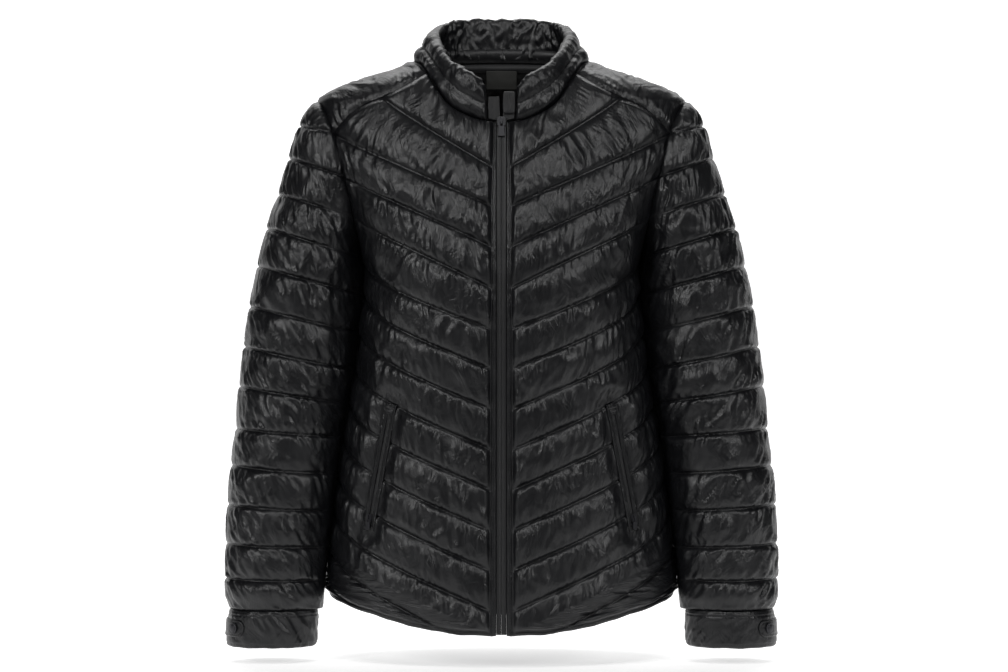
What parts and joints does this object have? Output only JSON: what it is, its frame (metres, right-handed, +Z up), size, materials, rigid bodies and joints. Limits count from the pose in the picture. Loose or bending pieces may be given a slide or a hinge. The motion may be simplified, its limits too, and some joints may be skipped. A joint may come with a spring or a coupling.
{
  "type": "puffer jacket",
  "caption": "Black quilted puffer jacket as worn, hollow, with stand collar, full front zip, slanted zipped pockets and snap cuffs.",
  "frame": {"origin": "half way down the slope of the shoulders, on the centre plane, at the depth of the shoulder seams, where the wearer's shoulders hold the jacket", "axes": "+X to the wearer's left, -Y out of the front, +Z up"},
  "size_m": [0.6296, 0.2418, 0.7226],
  "materials": {
    "shell": "black crinkled nylon with a soft sheen",
    "lining": "smooth matte black lining cloth",
    "zip_fabric": "black woven zip tape with a reversed coil",
    "neck_tape": "black twill tape",
    "label": "black woven, bare",
    "zip_metal": "black lacquered metal",
    "snap_metal": "black lacquered metal, satin"
  },
  "bodies": {
    "jacket": {"back": "shell", "collar": "shell", "cuff_left": "shell", "cuff_right": "shell", "cuff_snap_left": "snap_metal", "cuff_snap_right": "snap_metal", "cuff_tab_left": "shell", "cuff_tab_right": "shell", "front_left": "shell", "front_right": "shell", "neck_facing": "lining", "neck_label": "label", "neck_tape": "neck_tape", "pocket_left_slider": "zip_metal", "pocket_right_slider": "zip_metal", "pocket_tape_left": "zip_fabric", "pocket_tape_right": "zip_fabric", "pocket_welt_left": "shell", "pocket_welt_right": "shell", "sleeve_left": "shell", "sleeve_right": "shell", "yoke_left": "shell", "yoke_right": "shell", "zip_guard": "zip_fabric", "zip_slider": "zip_metal", "zip_tape_left": "zip_fabric", "zip_tape_right": "zip_fabric"},
    "zip_pull_tab": {"zip_pull": "zip_metal"},
    "pocket_left_pull_tab": {"pocket_left_pull": "zip_metal"},
    "pocket_right_pull_tab": {"pocket_right_pull": "zip_metal"}
  },
  "joints": [
    {"name": "zip_pull_hinge", "type": "hinge", "parent": "jacket", "child": "zip_pull_tab", "pos_m": [0, -0.08175, -0.05289], "axis": [-1, 0, 0], "range_deg": [0, 150]},
    {"name": "pocket_left_pull_hinge", "type": "hinge", "parent": "jacket", "child": "pocket_left_pull_tab", "pos_m": [0.14889, -0.08691, -0.49735], "axis": [-0.8152, -0.5792, 0], "range_deg": [0, 150]},
    {"name": "pocket_right_pull_hinge", "type": "hinge", "parent": "jacket", "child": "pocket_right_pull_tab", "pos_m": [-0.14889, -0.08691, -0.49735], "axis": [-0.8152, 0.5792, 0], "range_deg": [0, 150]}
  ]
}
